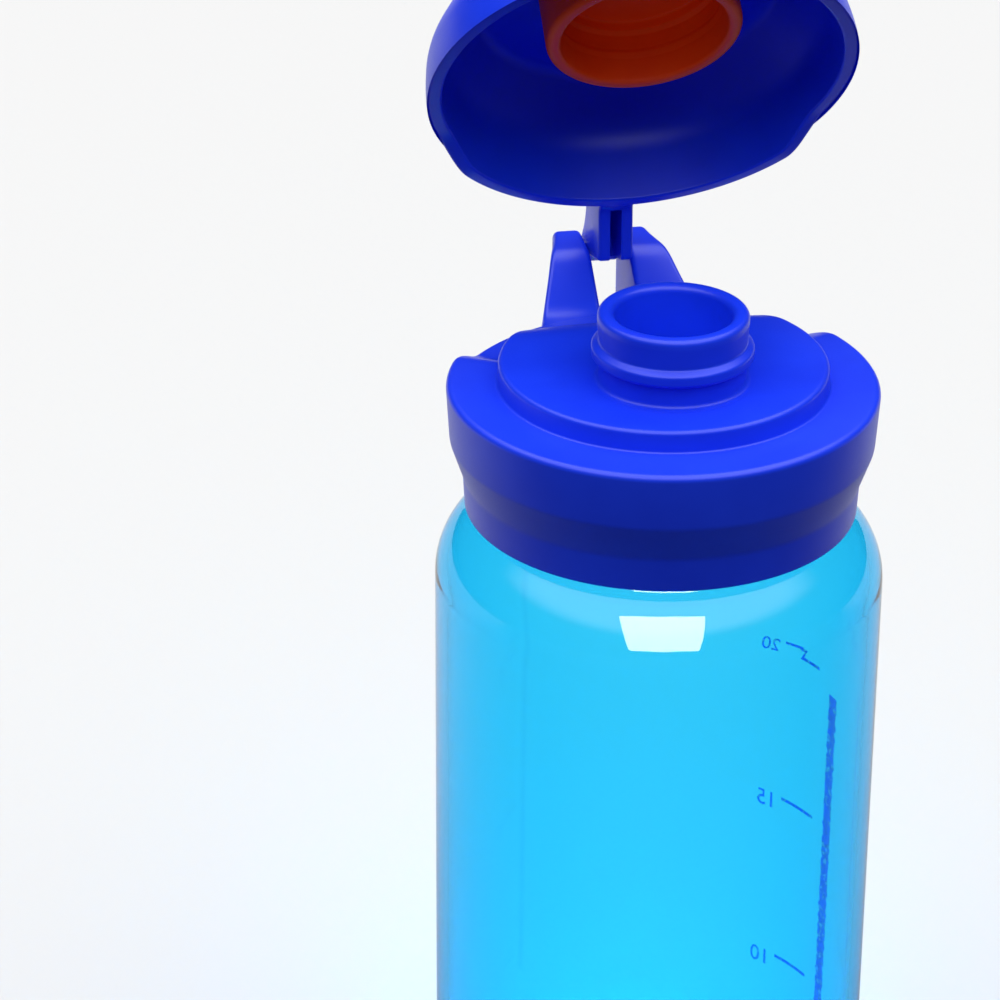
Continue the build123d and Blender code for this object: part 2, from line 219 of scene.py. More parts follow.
def step_height(azimuth):
    """Height of the parting line over the flange: 0 in front, -STEP_H beside the hinge."""
    away = abs((azimuth + 180) % 360 - 180)
    if away < STEP_MID_AZ:
        t = 0.5 * (away - STEP_LOW_AZ) / (STEP_MID_AZ - STEP_LOW_AZ)
    else:
        t = 0.5 + 0.5 * (away - STEP_MID_AZ) / (STEP_HIGH_AZ - STEP_MID_AZ)
    return STEP_H * (smooth(t) - 1)


def ramp_drop(y):
    """How far the plateau has fallen below its top at a distance behind the axis."""
    past = y - (RAMP_Y - RAMP_EDGE)
    if past <= 0:
        return 0.0
    if past < 2 * RAMP_EDGE:
        return RAMP_SLOPE * past * past / (4 * RAMP_EDGE)
    return RAMP_SLOPE * (y - RAMP_Y)


def ridge(azimuth, z, low_z, start_az, turns, height):
    """How far a helical thread ridge stands out at a point of a round wall."""
    best = 0.0
    for k in range(int(turns) + 1):
        turn = ((start_az - azimuth) % 360) / 360 + k
        if turn > turns:
            continue
        off = abs(z - low_z - PITCH * turn)
        flank = smooth((RIDGE_FOOT - off) / (RIDGE_FOOT - RIDGE_LAND))
        fade = smooth(min(turn, turns - turn) / RIDGE_FADE)
        best = max(best, flank * fade)
    return height * best


# ---------------------------------------------------------------- meshes
def new_piece(name, vertices, faces, material):
    """A mesh object from points in millimetres, smooth but for its sharp edges."""
    mesh = bpy.data.meshes.new(name)
    mesh.from_pydata([(x * MM, y * MM, z * MM) for x, y, z in vertices], [], faces)
    mesh.materials.append(material)
    piece = bpy.data.objects.new(name, mesh)
    bpy.context.scene.collection.objects.link(piece)
    tidy(piece)
    return piece


def tidy(piece):
    """Joins double points, turns faces outwards and marks sharp edges."""
    bm = bmesh.new()
    bm.from_mesh(piece.data)
    bmesh.ops.remove_doubles(bm, verts=bm.verts, dist=1e-6)
    bmesh.ops.dissolve_degenerate(bm, edges=bm.edges, dist=1e-7)
    bmesh.ops.recalc_face_normals(bm, faces=bm.faces)
    bm.to_mesh(piece.data)
    bm.free()
    piece.data.shade_smooth()
    piece.data.set_sharp_from_angle(angle=math.radians(SHARP_ANGLE))


def lathe(name, outline, material, centre_y=0.0, ring=False, bulge=None, segments=SEGMENTS):
    """Turns an outline about an upright axis. outline(azimuth) gives its (r, z) points.

    A ring's outline is a closed loop; otherwise both ends lie on the axis. bulge(azimuth, r, z)
    moves a point outwards.
    """
    vertices = []
    faces = []
    for i in range(segments):
        azimuth = 360 * i / segments
        angle = math.radians(azimuth)
        points = outline(azimuth)
        for r, z in points:
            if bulge:
                r += bulge(azimuth, r, z)
            vertices.append((r * math.sin(angle), centre_y + r * math.cos(angle), z))
    count = len(points)
    for i in range(segments):
        here, there = i * count, (i + 1) % segments * count
        for k in range(count if ring else count - 1):
            n = (k + 1) % count
            faces.append((here + k, there + k, there + n, here + n))
    return new_piece(name, vertices, faces, material)


def loft(name, sections, material):
    """Joins equal closed sections, each a list of (x, y, z), and closes both ends."""
    count = len(sections[0])
    vertices = [p for section in sections for p in section]
    faces = []
    for i in range(len(sections) - 1):
        here, there = i * count, (i + 1) * count
        for k in range(count):
            n = (k + 1) % count
            faces.append((here + k, there + k, there + n, here + n))
    faces.append(tuple(range(count)))
    last = (len(sections) - 1) * count
    faces.append(tuple(range(last, last + count)))
    return new_piece(name, vertices, faces, material)


def round_bar(name, ends, radius, material, steps=48):
    """A cylinder along X between two x values on the hinge line."""
    sections = []
    for x in ends:
        ring = []
        for k in range(steps):
            a = 2 * math.pi * k / steps
            ring.append((x, PIN_Y + radius * math.cos(a), PIN_Z + radius * math.sin(a)))
        sections.append(ring)
    return loft(name, sections, material)


def boolean(piece, tool, operation):
    """Applies a boolean with a tool object, which is used up."""
    modifier = piece.modifiers.new("cut", "BOOLEAN")
    modifier.operation = operation
    modifier.solver = "EXACT"
    modifier.object = tool
    graph = bpy.context.evaluated_depsgraph_get()
    result = bpy.data.meshes.new_from_object(piece.evaluated_get(graph))
    piece.modifiers.clear()
    old = piece.data
    piece.data = result
    bpy.data.meshes.remove(old)
    bpy.data.objects.remove(tool)
    tidy(piece)


def join(pieces):
    """Joins pieces into the first one."""
    with bpy.context.temp_override(active_object=pieces[0], selected_editable_objects=pieces):
        bpy.ops.object.join()
    return pieces[0]


def swing_open(piece):
    """Moves a piece made in the shut position to where the cap stands open."""
    pivot = Vector((0, PIN_Y, PIN_Z)) * MM
    turn = Matrix.Rotation(math.radians(OPEN_ANGLE), 4, Vector((-1, 0, 0)))
    piece.data.transform(Matrix.Translation(pivot) @ turn @ Matrix.Translation(-pivot))


# ---------------------------------------------------------------- materials
class Nodes:
    """Short ways to build a material's node tree."""

    def __init__(self, name):
        self.material = bpy.data.materials.new(name)
        self.material.use_nodes = True
        self.tree = self.material.node_tree
        self.shader = self.tree.nodes["Principled BSDF"]
        self.output = self.tree.nodes["Material Output"]
        self.place = self.add("ShaderNodeTexCoord").outputs["Object"]

    def add(self, kind, **values):
        node = self.tree.nodes.new(kind)
        for key, value in values.items():
            setattr(node, key, value)
        return node

    def link(self, source, target):
        self.tree.links.new(source, target)

    def noise(self, scale, detail=3.0, stretch=(1, 1, 1)):
        """Noise over the object's own space; scale is in features per metre."""
        mapping = self.add("ShaderNodeMapping")
        mapping.inputs["Scale"].default_value = stretch
        self.link(self.place, mapping.inputs["Vector"])
        texture = self.add("ShaderNodeTexNoise")
        texture.inputs["Scale"].default_value = scale
        texture.inputs["Detail"].default_value = detail
        self.link(mapping.outputs["Vector"], texture.inputs["Vector"])
        return texture.outputs["Fac"]

    def ramp(self, value, low, high, start=0.3, end=0.7):
        """Maps a value from start..end to low..high."""
        node = self.add("ShaderNodeMapRange")
        node.inputs["From Min"].default_value = start
        node.inputs["From Max"].default_value = end
        node.inputs["To Min"].default_value = low
        node.inputs["To Max"].default_value = high
        self.link(value, node.inputs["Value"])
        return node.outputs["Result"]

    def tint(self, value, dark, light):
        """Mixes two colours by a value."""
        node = self.add("ShaderNodeMix", data_type="RGBA")
        node.inputs["A"].default_value = (*dark, 1)
        node.inputs["B"].default_value = (*light, 1)
        self.link(value, node.inputs["Factor"])
        return node.outputs["Result"]

    def bump(self, height, distance, strength):
        """A bump of a real depth in millimetres."""
        node = self.add("ShaderNodeBump")
        node.inputs["Distance"].default_value = distance * MM
        node.inputs["Strength"].default_value = strength
        self.link(height, node.inputs["Height"])
        return node.outputs["Normal"]

    def set(self, **values):
        for key, value in values.items():
            self.shader.inputs[key.replace("_", " ")].default_value = value


def lid_plastic():
    """Satin moulded polypropylene in royal blue."""
    m = Nodes("lid_plastic")
    cloud = m.noise(60, 3)
    grain = m.noise(5200, 2)
    colour = m.tint(m.ramp(cloud, 0, 1), (0.006, 0.040, 0.88), (0.009, 0.052, 0.98))
    m.link(colour, m.shader.inputs["Base Color"])
    m.link(m.ramp(grain, 0.30, 0.40), m.shader.inputs["Roughness"])
    m.link(m.bump(grain, 0.012, 0.35), m.shader.inputs["Normal"])
    m.set(IOR=1.49)
    return m.material


def orange_silicone():
    """Soft silicone with a dusty sheen."""
    m = Nodes("orange_silicone")
    cloud = m.noise(90, 3)
    grain = m.noise(4000, 2)
    colour = m.tint(m.ramp(cloud, 0, 1), (0.95, 0.055, 0.002), (1.0, 0.075, 0.003))
    m.link(colour, m.shader.inputs["Base Color"])
    m.link(m.ramp(grain, 0.42, 0.55), m.shader.inputs["Roughness"])
    m.link(m.bump(grain, 0.015, 0.4), m.shader.inputs["Normal"])
    m.set(IOR=1.41, Subsurface_Weight=0.15, Subsurface_Scale=0.002)
    m.shader.inputs["Subsurface Radius"].default_value = (1.0, 0.3, 0.1)
    return m.material


def clear_silicone():
    """Milky translucent silicone of the gasket."""
    m = Nodes("clear_silicone")
    cloud = m.noise(300, 2)
    colour = m.tint(m.ramp(cloud, 0, 1), (0.72, 0.75, 0.77), (0.80, 0.82, 0.84))
    m.link(colour, m.shader.inputs["Base Color"])
    m.link(m.ramp(cloud, 0.45, 0.6), m.shader.inputs["Roughness"])
    m.set(IOR=1.41, Subsurface_Weight=0.3, Subsurface_Scale=0.002)
    return m.material


def pin_steel():
    """Drawn stainless wire, with lines along its length."""
    m = Nodes("pin_steel")
    lines = m.noise(2500, 2, stretch=(0.03, 1, 1))
    m.link(m.ramp(lines, 0.22, 0.42), m.shader.inputs["Roughness"])
    m.link(m.bump(lines, 0.01, 0.4), m.shader.inputs["Normal"])
    m.set(Base_Color=(0.60, 0.60, 0.62, 1), Metallic=1.0)
    return m.material


def translucent_shell():
    """Clear tinted copolyester: glossy, with light that passes through as tinted light."""
    m = Nodes("translucent_shell")
    streaks = m.noise(30, 2, stretch=(1, 1, 0.15))
    m.set(Base_Color=(0.88, 0.98, 1.0, 1), IOR=1.45, Transmission_Weight=1.0)
    m.link(m.ramp(streaks, 0.010, 0.035), m.shader.inputs["Roughness"])
    m.link(m.bump(streaks, 0.25, 0.25), m.shader.inputs["Normal"])
    clear = m.add("ShaderNodeBsdfTransparent")
    clear.inputs["Color"].default_value = (0.9, 0.97, 1.0, 1)
    path = m.add("ShaderNodeLightPath")
    mix = m.add("ShaderNodeMixShader")
    m.link(path.outputs["Is Shadow Ray"], mix.inputs["Fac"])
    m.link(m.shader.outputs["BSDF"], mix.inputs[1])
    m.link(clear.outputs["BSDF"], mix.inputs[2])
    m.link(mix.outputs["Shader"], m.output.inputs["Surface"])
    depth = m.add("ShaderNodeVolumeAbsorption")
    depth.inputs["Color"].default_value = (0.02, 0.87, 0.997, 1)
    depth.inputs["Density"].default_value = 690.0
    m.link(depth.outputs["Volume"], m.output.inputs["Volume"])
    return m.material


def print_ink():
    """Dark blue pad-print ink, a little patchy."""
    m = Nodes("print_ink")
    patch = m.noise(900, 3)
    colour = m.tint(m.ramp(patch, 0, 1), (0.010, 0.06, 0.42), (0.016, 0.09, 0.55))
    m.link(colour, m.shader.inputs["Base Color"])
    m.link(m.ramp(patch, 0.35, 0.6), m.shader.inputs["Roughness"])
    m.link(m.ramp(patch, 0.25, 1.0, 0.36, 0.52), m.shader.inputs["Alpha"])
    return m.material


PLASTIC = lid_plastic()
ORANGE = orange_silicone()
GASKET = clear_silicone()
STEEL = pin_steel()
SHELL = translucent_shell()
INK = print_ink()


# ---------------------------------------------------------------- bottle
def shoulder_line(radius, inset):
    """Height on the shoulder's sloping line at a radius, moved inwards by inset."""
    tilt = math.radians(SHOULDER_TILT)
    start_r = SHOULDER_TOP_R - inset * math.cos(tilt)
    start_z = SHOULDER_TOP_Z - inset * math.sin(tilt)
    return start_z - (radius - start_r) / math.tan(tilt)


def bottle():
    """The blow-moulded bottle as one closed skin with its thread."""
    inner_r = BODY_R - WALL
    dome_r = (FOOT_R_IN ** 2 + PUSH_UP ** 2) / (2 * PUSH_UP)

    def push_up(radius, lift):
        """Points of the domed base from the axis out to a radius."""
        ball = dome_r + lift
        top = PUSH_UP + lift
        steps = 12
        radii = [radius * k / steps for k in range(steps)]
        return [Vector((r, top - ball + math.sqrt(ball ** 2 - r ** 2))) for r in radii]

    neck_low, neck_high = (NECK_R, NECK_STEP_Z + 0.6), (NECK_R, RIM_Z - 1.2)
    outside = push_up(FOOT_R_IN, 0) + rounded(
        [
            (FOOT_R_IN, 0, 0),
            (BODY_R, 0, FOOT_CORNER_R),
            (BODY_R, shoulder_line(BODY_R, 0), SHOULDER_CORNER_R),
            (SHOULDER_TOP_R, SHOULDER_TOP_Z, 1.2),
            (SHOULDER_TOP_R, NECK_STEP_Z, 0.5),
            (NECK_R, NECK_STEP_Z, 0.3),
            (*neck_low, 0),
        ],
        steps=10,
    )
    rim = rounded(
        [
            (*neck_high, 0),
            (NECK_R, RIM_Z, 1.0),
            (NECK_BORE_R, RIM_Z, 1.0),
            (NECK_BORE_R, shoulder_line(NECK_BORE_R, WALL), 5.0),
            (inner_r, shoulder_line(inner_r, WALL), SHOULDER_CORNER_R - WALL),
            (inner_r, WALL, FOOT_CORNER_R - WALL),
            (FOOT_R_IN, WALL, 0),
        ],
        steps=10,
    )
    inside = list(reversed(push_up(FOOT_R_IN, WALL)))
    points = outside + spread(neck_low, neck_high, 44) + rim + inside

    def thread(azimuth, r, z):
        if abs(r - NECK_R) > 0.01 or z < NECK_STEP_Z:
            return 0.0
        return ridge(azimuth, z, THREAD_LOW_Z, THREAD_START_AZ, THREAD_TURNS, THREAD_CREST)

    return lathe("bottle_shell", lambda azimuth: points, SHELL, bulge=thread)


# ---------------------------------------------------------------- screw lid
def taper_r(z):
    """Outer radius of the flange's side at a height."""
    return FLANGE_R + (FLANGE_TAPER_R - FLANGE_R) * (LID_Z - z) / FLANGE_BAND


def lid_body():
    """Plateau, flange, flared side, skirt and the hollow under the plateau."""
    plateau_steps = 20
    roof_steps = 12
    thread_low = THREAD_LOW_Z - PITCH / 2 + LID_THREAD_PULL
    bore_low, bore_high = LID_Z - SKIRT_DROP + 0.8, DECK_UNDER_Z - 0.4

    def plateau_z(r, azimuth, lowered=0.0):
        y = r * math.cos(math.radians(azimuth))
        return LID_Z + PLATEAU_H - ramp_drop(y) - lowered

    def outline(azimuth):
        flange = LID_Z + step_height(azimuth)
        lowest = flange + PLATEAU_MIN_H
        flat_r = PLATEAU_R - PLATEAU_ROUND
        edge = max(plateau_z(PLATEAU_R, azimuth), lowest)
        points = []
        for k in range(plateau_steps):
            r = flat_r * k / plateau_steps
            points.append(Vector((r, max(plateau_z(r, azimuth), lowest))))
        points += rounded(
            [
                (flat_r, edge, 0),
                (PLATEAU_R, edge, 0.9),
                (PLATEAU_R + 0.2, flange, 0.5),
                (taper_r(flange), flange, 1.2),
                (FLANGE_TAPER_R, LID_Z - FLANGE_BAND, 4.0),
                (SKIRT_TOP_R, LID_Z - SKIRT_TOP_DROP, 5.0),
                (SKIRT_R, LID_Z - SKIRT_DROP, 0.5),
                (SKIRT_BORE_R, LID_Z - SKIRT_DROP, 0.3),
                (SKIRT_BORE_R, bore_low, 0),
            ],
            steps=6,
        )
        points += spread((SKIRT_BORE_R, bore_low), (SKIRT_BORE_R, bore_high), 42)
        points += rounded(
            [
                (SKIRT_BORE_R, bore_high, 0),
                (SKIRT_BORE_R, DECK_UNDER_Z, 0.2),
                (GUIDE_R_OUT, DECK_UNDER_Z, 0.2),
                (GUIDE_R_OUT, DECK_UNDER_Z - GUIDE_DROP, 0.5),
                (GUIDE_R_IN, DECK_UNDER_Z - GUIDE_DROP, 0.5),
                (GUIDE_R_IN, DECK_UNDER_Z - 1, 0),
            ],
            steps=4,
        )
        for k in range(roof_steps, -1, -1):
            r = GUIDE_R_IN * k / roof_steps
            roof = plateau_z(r, azimuth, ROOF_T)
            roof -= COVE_H * smooth((r - GUIDE_R_IN + COVE_W) / COVE_W)
            points.append(Vector((r, max(roof, DECK_UNDER_Z - 0.9))))
        return points

    def thread(azimuth, r, z):
        if abs(r - SKIRT_BORE_R) > 0.01 or not bore_low < z < bore_high:
            return 0.0
        return ridge(azimuth, z, thread_low, THREAD_START_AZ, LID_THREAD_TURNS, LID_THREAD_CREST)

    body = lathe("lid", outline, PLASTIC, bulge=thread)
    hole_r = SPOUT_BORE_R + 1.0
    low, high = RIM_Z - 20, RIM_Z + 40
    corners = [Vector(p) for p in ((0, low), (hole_r, low), (hole_r, high), (0, high))]
    tool = lathe(
        "hole",
        lambda azimuth: corners,
        PLASTIC,
        centre_y=SPOUT_Y,
        segments=HOLE_SEGMENTS,
    )
    boolean(body, tool, "DIFFERENCE")
    return body


def spout():
    """The spout's rim, bead and flared foot, with its bore going down through the plateau."""
    bead = LID_Z + SPOUT_BEAD_Z
    foot = LID_Z + PLATEAU_H
    top = LID_Z + SPOUT_H
    end = foot - ROOF_T + 0.1
    points = rounded(
        [
            (SPOUT_BORE_R + 1.5, end, 0),
            (SPOUT_BORE_R + 1.5, foot - 1.0, 0),
            (SPOUT_FOOT_R + 1.6, foot - 0.15, 0),
            (SPOUT_FOOT_R + 1.6, foot + 0.02, 0),
            (SPOUT_FOOT_R, foot + 0.02, 0.9),
            (SPOUT_WALL_R, bead - SPOUT_BEAD_H / 2 - 0.4, 0.4),
            (SPOUT_BEAD_R, bead - SPOUT_BEAD_H / 2 + 0.3, 0.6),
            (SPOUT_BEAD_R, bead + SPOUT_BEAD_H / 2 - 0.5, 0.7),
            (SPOUT_WALL_R, bead + SPOUT_BEAD_H / 2 + 0.3, 0.5),
            (SPOUT_RIM_R, top - 1.8, 0.6),
            (SPOUT_RIM_R, top, 1.1),
            (SPOUT_BORE_R, top, 1.3),
            (SPOUT_BORE_R, end, 0),
        ],
        steps=7,
    )
    return lathe(
        "spout",
        lambda azimuth: points,
        PLASTIC,
        centre_y=SPOUT_Y,
        ring=True,
        segments=SPOUT_SEGMENTS,
    )


def along(table, y):
    """Straight interpolation in a table of (y, value) pairs."""
    if y <= table[0][0]:
        return table[0][1]
    for (y0, v0), (y1, v1) in zip(table, table[1:]):
        if y <= y1:
            return v0 + (v1 - v0) * (y - y0) / (y1 - y0)
    return table[-1][1]


def soft_along(table, y, reach):
    """The same, averaged over a short length so that its corners are round."""
    samples = 9
    offsets = [reach * (2 * k / (samples - 1) - 1) for k in range(samples)]
    return sum(along(table, y + offset) for offset in offsets) / samples


def block_section(y, x_low, x_high, z_low, z_high, corner, steps=4):
    """A rounded rectangle across Y, as (x, y, z) points."""
    corner = min(corner, 0.49 * (x_high - x_low), 0.49 * (z_high - z_low))
    centres = (
        (x_high - corner, z_high - corner, 0),
        (x_low + corner, z_high - corner, 90),
        (x_low + corner, z_low + corner, 180),
        (x_high - corner, z_low + corner, 270),
    )
    points = []
    for x, z, start in centres:
        for k in range(steps + 1):
            a = math.radians(start + 90 * k / steps)
            points.append((x + corner * math.cos(a), y, z + corner * math.sin(a)))
    return points


def turned_away(y, end, radius):
    """How far a round corner that ends at end has turned away at y."""
    past = min(max(y - (end - radius), 0.0), radius)
    return radius - math.sqrt(max(radius ** 2 - past ** 2, 0.0))


def stations(start, end, radius, count=36, curl=14):
    """Y values along a bar, closer together along its last radius."""
    bend = end - radius
    straight = [start + (bend - start) * k / count for k in range(count)]
    return straight + [bend + radius * math.sin(math.pi / 2 * k / curl) for k in range(curl + 1)]


def ear(side):
    """One deep ear of the fork, on the side given by its sign."""
    flange = LID_Z - STEP_H - 0.1
    top_z = PIN_Z + EAR_END_R
    end = PIN_Y + EAR_END_R - 0.1
    top = ((FLANGE_R + 0.2, flange), (EAR_TOP_Y, top_z))
    low = ((SKIRT_TOP_R, LID_Z - EAR_ROOT_DROP), (end, LID_Z - EAR_DROP))
    sections = []
    for y in stations(EAR_START_Y, end, EAR_TIP_R):
        z_high = soft_along(top, y, reach=2.0) - turned_away(y, end, EAR_END_R - 0.02)
        z_low = soft_along(low, y, reach=0.5) + turned_away(y, end, EAR_TIP_R)
        inset = turned_away(y, end, EAR_SIDE_R)
        inner = SLOT_W / 2 + inset
        outer = soft_along(EAR_HALF, y, reach=3.0) - inset
        x_low, x_high = sorted((side * inner, side * outer))
        sections.append(block_section(y, x_low, x_high, z_low, z_high, corner=1.1, steps=5))
    piece = loft("ear", sections, PLASTIC)
    boolean(piece, round_bar("hole", DRILL_X, PIN_R + EAR_HOLE_GAP, PLASTIC), "DIFFERENCE")
    return piece


def screw_lid():
    """The lid with its spout and fork as one piece."""
    return join([lid_body(), spout(), ear(1), ear(-1)])


# ---------------------------------------------------------------- cap
def cap_shell():
    """The domed cap, with its rim following the parting line."""

    def outline(azimuth):
        rim = CAP_RIM_Z + step_height(azimuth)
        wall_r = CAP_R - CAP_RIM_WALL
        return rounded(
            [
                (0, CAP_RIM_Z + CAP_CEILING, 0),
                (CEILING_R, CAP_RIM_Z + CAP_CEILING, 4.0),
                (CAP_WAIST_R - CAP_RIM_WALL, CAP_RIM_Z + CAP_WAIST_Z, 10.0),
                (wall_r, rim, 0.5),
                (CAP_R, rim, 0.7),
                (CAP_R, CAP_RIM_Z + CAP_BAND, 30.0),
                (CAP_WAIST_R, CAP_RIM_Z + CAP_WAIST_Z, 12.0),
                (CAP_EDGE_R, CAP_RIM_Z + CAP_EDGE_Z, 9.0),
                (CAP_CROWN_R, CAP_RIM_Z + CAP_H, 60.0),
                (0, CAP_RIM_Z + CAP_H, 0),
            ],
            steps=8,
        )

    return lathe("cap", outline, PLASTIC)


def cap_arm():
    """The deep arm and its knuckle, with a groove along the underside."""
    root_top = CAP_RIM_Z + ARM_ROOT_H
    root_low = CAP_RIM_Z - STEP_H + 0.4
    knuckle_low = PIN_Z - KNUCKLE_R
    top = ((CAP_R + 1, root_top), (PIN_Y - 5, PIN_Z + KNUCKLE_R))
    low = ((SLOT_START_Y + 0.5, root_low), (HEEL_Y, LID_Z - HEEL_DROP), (PIN_Y - 2, knuckle_low))
    sections = []
    end = PIN_Y + KNUCKLE_R
    for y in stations(ARM_START_Y, end, KNUCKLE_R, count=48):
        curl = turned_away(y, end, KNUCKLE_R - 0.001)
        z_low = soft_along(low, y, reach=0.6) + curl
        z_high = soft_along(top, y, reach=2.0) - curl
        sections.append(block_section(y, -ARM_W / 2, ARM_W / 2, z_low, z_high, corner=0.7))
    arm = loft("arm", sections, PLASTIC)
    boolean(arm, round_bar("hole", DRILL_X, PIN_R + ARM_HOLE_GAP, PLASTIC), "DIFFERENCE")
    groove = []
    below_arm = PIN_Z - 25
    for y, roof in ((CAP_R + 1.6, CAP_RIM_Z + 4.5), (PIN_Y - 6.5, PIN_Z - 0.5)):
        section = block_section(y, -GROOVE_W / 2, GROOVE_W / 2, below_arm, roof, corner=0.5)
        groove.append(section)
    boolean(arm, loft("groove", groove, PLASTIC), "DIFFERENCE")
    return arm


def flip_cap():
    """The cap and its arm as one piece, swung open."""
    cap = join([cap_shell(), cap_arm()])
    swing_open(cap)
    return cap


def spout_seal():
    """The silicone cup: a thick rounded lip and inner rings that grip the spout."""
    mouth = LID_Z + SEAL_MOUTH_Z
    pocket = LID_Z + SEAL_POCKET_Z
    back = CAP_RIM_Z + CAP_CEILING
    points = rounded(
        [
            (0, pocket, 0),
            (SEAL_POCKET_R, pocket, 0.6),
            (SEAL_POCKET_R, mouth + 10.6, 0.5),
            (SEAL_POCKET_R + 0.7, mouth + 9.8, 0.4),
            (SEAL_POCKET_R + 0.75, mouth + 7.0, 0.5),
            (SEAL_POCKET_R + 0.55, mouth + 6.2, 0.4),
            (SEAL_MOUTH_R - 0.1, mouth + 5.0, 0.6),
            (SEAL_MOUTH_R, mouth, 0.9),
            (SEAL_R, mouth, 1.3),
            (SEAL_R, back + 0.1, 0),
            (0, back + 0.1, 0),
        ],
        steps=7,
    )
    seal = lathe(
        "seal",
        lambda azimuth: points,
        ORANGE,
        centre_y=SPOUT_Y,
        segments=SPOUT_SEGMENTS,
    )
    swing_open(seal)
    return seal


# ---------------------------------------------------------------- printed scale
PRINT_LIFT = 0.03             # how far the ink stands off the wall
INK_T = 0.02
LABEL_AZ = 47.5
LABELS = (("20", 72.5), ("15", 106.0), ("10", 143.0), ("5", 180.0))  # text, drop from the flange
LABEL_SIZE = 5.04             # size of the font
TICK_AZ = (53.0, 66.5)
TICK_W = 0.7
TICK_RISE = 1.2               # lower edge of a tick above the middle of its label
BAR_AZ = (71.3, 77.5)
BAR_LOW_Z = 12.0
BAR_DROP = 2.0                # top of the bar below the first label
BAR_WEAR = 0.3                # share of its width that the bar's ragged sides take up
WEAR_SCALE = 0.8              # features of wear per millimetre


def on_wall(azimuth, z, lift=0.0):
    """A point of the bottle's outer wall, lifted a little when asked."""
    angle = math.radians(azimuth)
    r = BODY_R + PRINT_LIFT + lift
    return (r * math.sin(angle), r * math.cos(angle), z)


def wrapped_patch(az_low, az_high, z_low, z_high, columns, rows=1, wear=0.0):
    """Points and faces of a thin closed patch of ink on the wall; wear frays its two sides."""
    vertices, faces = [], []
    for lift in (0.0, INK_T):
        for j in range(rows + 1):
            z = z_low + (z_high - z_low) * j / rows
            fray_low = wear * (0.5 + 0.5 * noise.noise((0, 0, z * WEAR_SCALE)))
            fray_high = wear * (0.5 + 0.5 * noise.noise((9, 0, z * WEAR_SCALE)))
            for i in range(columns + 1):
                t = fray_low + (1 - fray_low - fray_high) * i / columns
                vertices.append(on_wall(az_low + (az_high - az_low) * t, z, lift))
    wide = columns + 1
    sheet = wide * (rows + 1)
    for j in range(rows):
        for i in range(columns):
            a = j * wide + i
            faces.append((a, a + 1, a + wide + 1, a + wide))
            faces.append((sheet + a, sheet + a + wide, sheet + a + wide + 1, sheet + a + 1))
    rim = list(range(wide))
    rim += [j * wide + columns for j in range(1, rows + 1)]
    rim += [rows * wide + i for i in range(columns - 1, -1, -1)]
    rim += [j * wide for j in range(rows - 1, 0, -1)]
    for k, a in enumerate(rim):
        b = rim[(k + 1) % len(rim)]
        faces.append((a, sheet + a, sheet + b, b))
    return vertices, faces


def label(text, z):
    """A number printed on the wall, upright and centred on the scale's label line."""
    curve = bpy.data.curves.new("label", "FONT")
    curve.body = text
    curve.size = LABEL_SIZE
    curve.extrude = INK_T / 2
    curve.align_x = "CENTER"
    curve.align_y = "CENTER"
    holder = bpy.data.objects.new("label", curve)
    bpy.context.scene.collection.objects.link(holder)
    graph = bpy.context.evaluated_depsgraph_get()
    flat = bpy.data.meshes.new_from_object(holder.evaluated_get(graph))
    points = []
    for vertex in flat.vertices:
        u, v, lift = vertex.co
        points.append(on_wall(LABEL_AZ - math.degrees(u / BODY_R), z + v, lift + INK_T / 2))
    faces = [tuple(p.vertices) for p in flat.polygons]
    bpy.data.objects.remove(holder)
    bpy.data.curves.remove(curve)
    bpy.data.meshes.remove(flat)
    return new_piece("label", points, faces, INK)


def printed_scale():
    """The measuring scale: numbers, tick lines and a long bar."""
    bar_top = LID_Z - LABELS[0][1] - BAR_DROP
    bar = wrapped_patch(*BAR_AZ, BAR_LOW_Z, bar_top, columns=4, rows=160, wear=BAR_WEAR)
    pieces = [new_piece("bar", *bar, INK)]
    for text, drop in LABELS:
        z = LID_Z - drop
        pieces.append(label(text, z))
        tick_z = z + TICK_RISE
        tick = wrapped_patch(*TICK_AZ, tick_z, tick_z + TICK_W, columns=16)
        pieces.append(new_piece("tick", *tick, INK))
    return join(pieces)


# ---------------------------------------------------------------- assembly
def place(piece, name, node, body):
    """Names a piece, puts it on its body and lets it stand for its CAD node."""
    piece.name = name
    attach(piece, body)
    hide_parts(node)


place(bottle(), "bottle_shell", "bottle_body", "bottle")
place(screw_lid(), "lid_with_spout", "screw_lid", "lid")
place(flip_cap(), "domed_cap", "flip_cap", "cap")
place(spout_seal(), "silicone_seal", "spout_seal", "cap")
scale = printed_scale()
scale.name = "printed_scale"
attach(scale, "bottle")
for node, material in (("lid_gasket", GASKET), ("hinge_pin", STEEL)):
    for material_slot in frame["nodes"][node].material_slots:
        material_slot.material = material


# ---------------------------------------------------------------- studio
PAPER = 0.93                  # how white the backdrop looks
FLOOR_PAINT = 0.66            # the floor's albedo that looks as white under the key light
REAR_BOUNCE = 0.55            # the floor's albedo behind the bottle for bounced light
# painted shade: the floor's colour for bounced light in front of the bottle
FRONT_BOUNCE = 0.04
KEY_AIM = (0.0, -0.06, 1.0)   # where the overhead soft box stands, as seen from the bottle
KEY_STRENGTH = 2.45
KEY_EDGE, KEY_CORE = math.cos(math.radians(58)), math.cos(math.radians(40))
AMBIENT = 0.02
BOUNCE_SHADE_Y = (-0.15, 0.35)        # metres, where the floor's painted bounce shade goes from FRONT_BOUNCE to REAR_BOUNCE
FLOOR_SIZE = 8.0              # metres from the middle to each side


